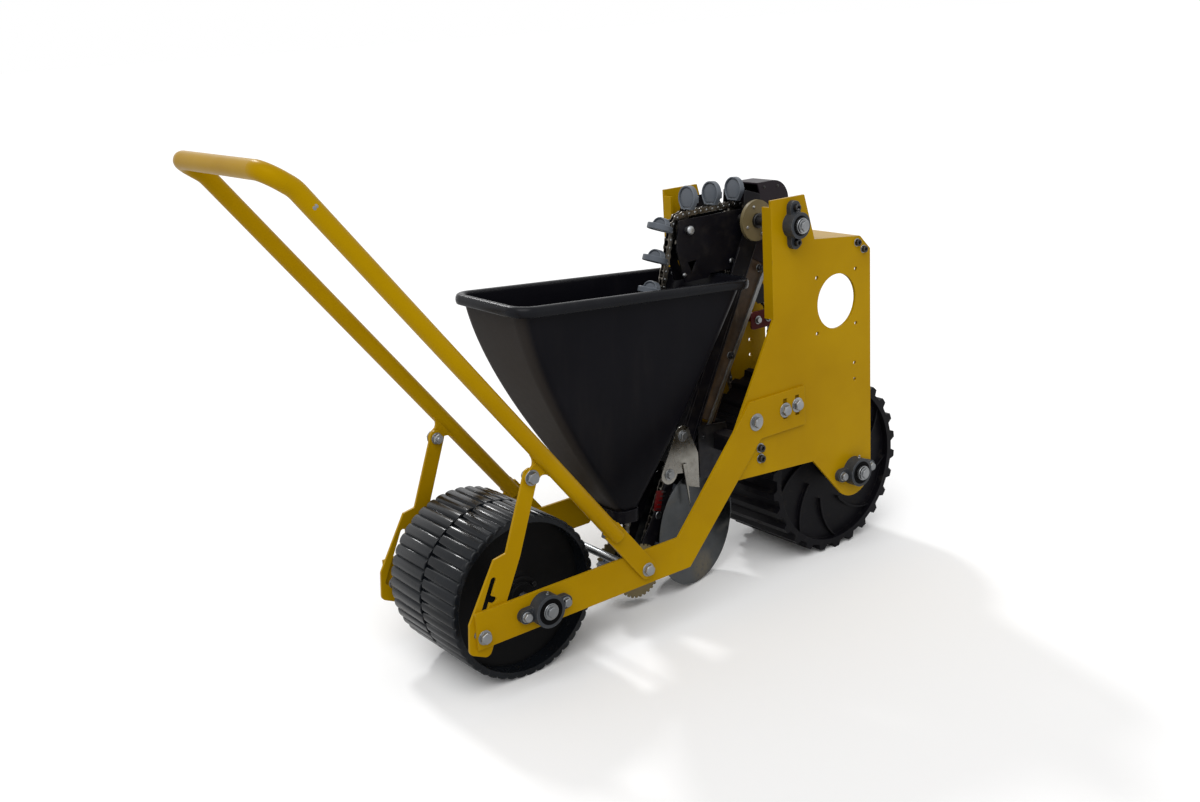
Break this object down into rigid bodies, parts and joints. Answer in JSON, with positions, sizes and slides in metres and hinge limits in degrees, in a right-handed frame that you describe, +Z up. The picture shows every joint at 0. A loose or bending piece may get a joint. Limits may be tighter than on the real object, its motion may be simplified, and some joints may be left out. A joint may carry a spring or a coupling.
{
  "type": "garlic planter",
  "caption": "Walk-behind single-row garlic planter: cup-chain elevator through a hopper, disc opener, lugged drive wheel, ribbed press wheel and a tube handle.",
  "frame": {"origin": "on the ground, in the middle of the machine's box", "axes": "+X forward in the direction of travel, +Y to the machine's left, +Z up"},
  "size_m": [1.5084, 0.412, 1.039],
  "materials": {
    "yellow_paint": "gloss",
    "press_rubber": "satin",
    "drive_rubber": "satin",
    "hopper_plastic": "satin",
    "cast_housing": "satin",
    "disc_steel": "satin",
    "cup_plastic": "satin",
    "cream_plastic": "matte",
    "chain_steel": "oily",
    "black_paint": "satin",
    "hood_plastic": "satin",
    "brown_sheet": "worn, soiled",
    "red_paint": "gloss",
    "grey_sheet": "mill finish",
    "stainless": "brushed",
    "bright_steel": "zinc plated"
  },
  "bodies": {
    "frame": {"arm_left": "yellow_paint", "arm_right": "yellow_paint", "boot_lever": "red_paint", "chain_guard": "black_paint", "chute_channel": "black_paint", "chute_cover": "brown_sheet", "chute_rails": "bright_steel", "cross_bracket": "grey_sheet", "cross_tube": "black_paint", "deck_plate": "yellow_paint", "disc_carriers": "stainless", "disc_hanger": "black_paint", "drive_bearings": "cast_housing", "drive_chain": "chain_steel", "drive_sprockets": "chain_steel", "elevator_chain": "chain_steel", "elevator_sprockets": "chain_steel", "foot_axle": "bright_steel", "foot_sprocket": "cream_plastic", "handle": "yellow_paint", "head_bracket": "black_paint", "hood": "hood_plastic", "hopper": "hopper_plastic", "hopper_collar": "black_paint", "idler_axle": "bright_steel", "press_bearings": "cast_housing", "seed_cups": "cup_plastic", "side_plate_left": "yellow_paint", "side_plate_right": "yellow_paint", "struts": "yellow_paint", "tension_plate": "red_paint", "tension_roller": "cream_plastic", "tie_rod": "bright_steel", "top_bearings": "cast_housing", "top_disc": "cream_plastic", "top_shaft": "bright_steel"},
    "press_wheel": {"press_axle": "bright_steel", "press_drum_right": "press_rubber", "press_drum_left": "press_rubber"},
    "drive_wheel": {"drive_axle": "bright_steel", "drive_drum": "drive_rubber"},
    "opener_wheel_right": {"opener_disc_right": "disc_steel"},
    "opener_wheel_left": {"opener_disc_left": "disc_steel"}
  },
  "joints": [
    {"name": "press_wheel_roll", "type": "hinge", "parent": "frame", "child": "press_wheel", "pos_m": [-0.3045, 0, 0.1625], "axis": [0, 1, 0], "continuous": true},
    {"name": "drive_wheel_roll", "type": "hinge", "parent": "frame", "child": "drive_wheel", "pos_m": [0.5565, 0, 0.2], "axis": [0, 1, 0], "continuous": true},
    {"name": "opener_roll_right", "type": "hinge", "parent": "frame", "child": "opener_wheel_right", "pos_m": [0.2035, -0.0305, 0.133], "axis": [-0.2079, 0.9781, 0], "continuous": true},
    {"name": "opener_roll_left", "type": "hinge", "parent": "frame", "child": "opener_wheel_left", "pos_m": [0.2135, 0.0305, 0.133], "axis": [0.2079, 0.9781, 0], "continuous": true}
  ]
}
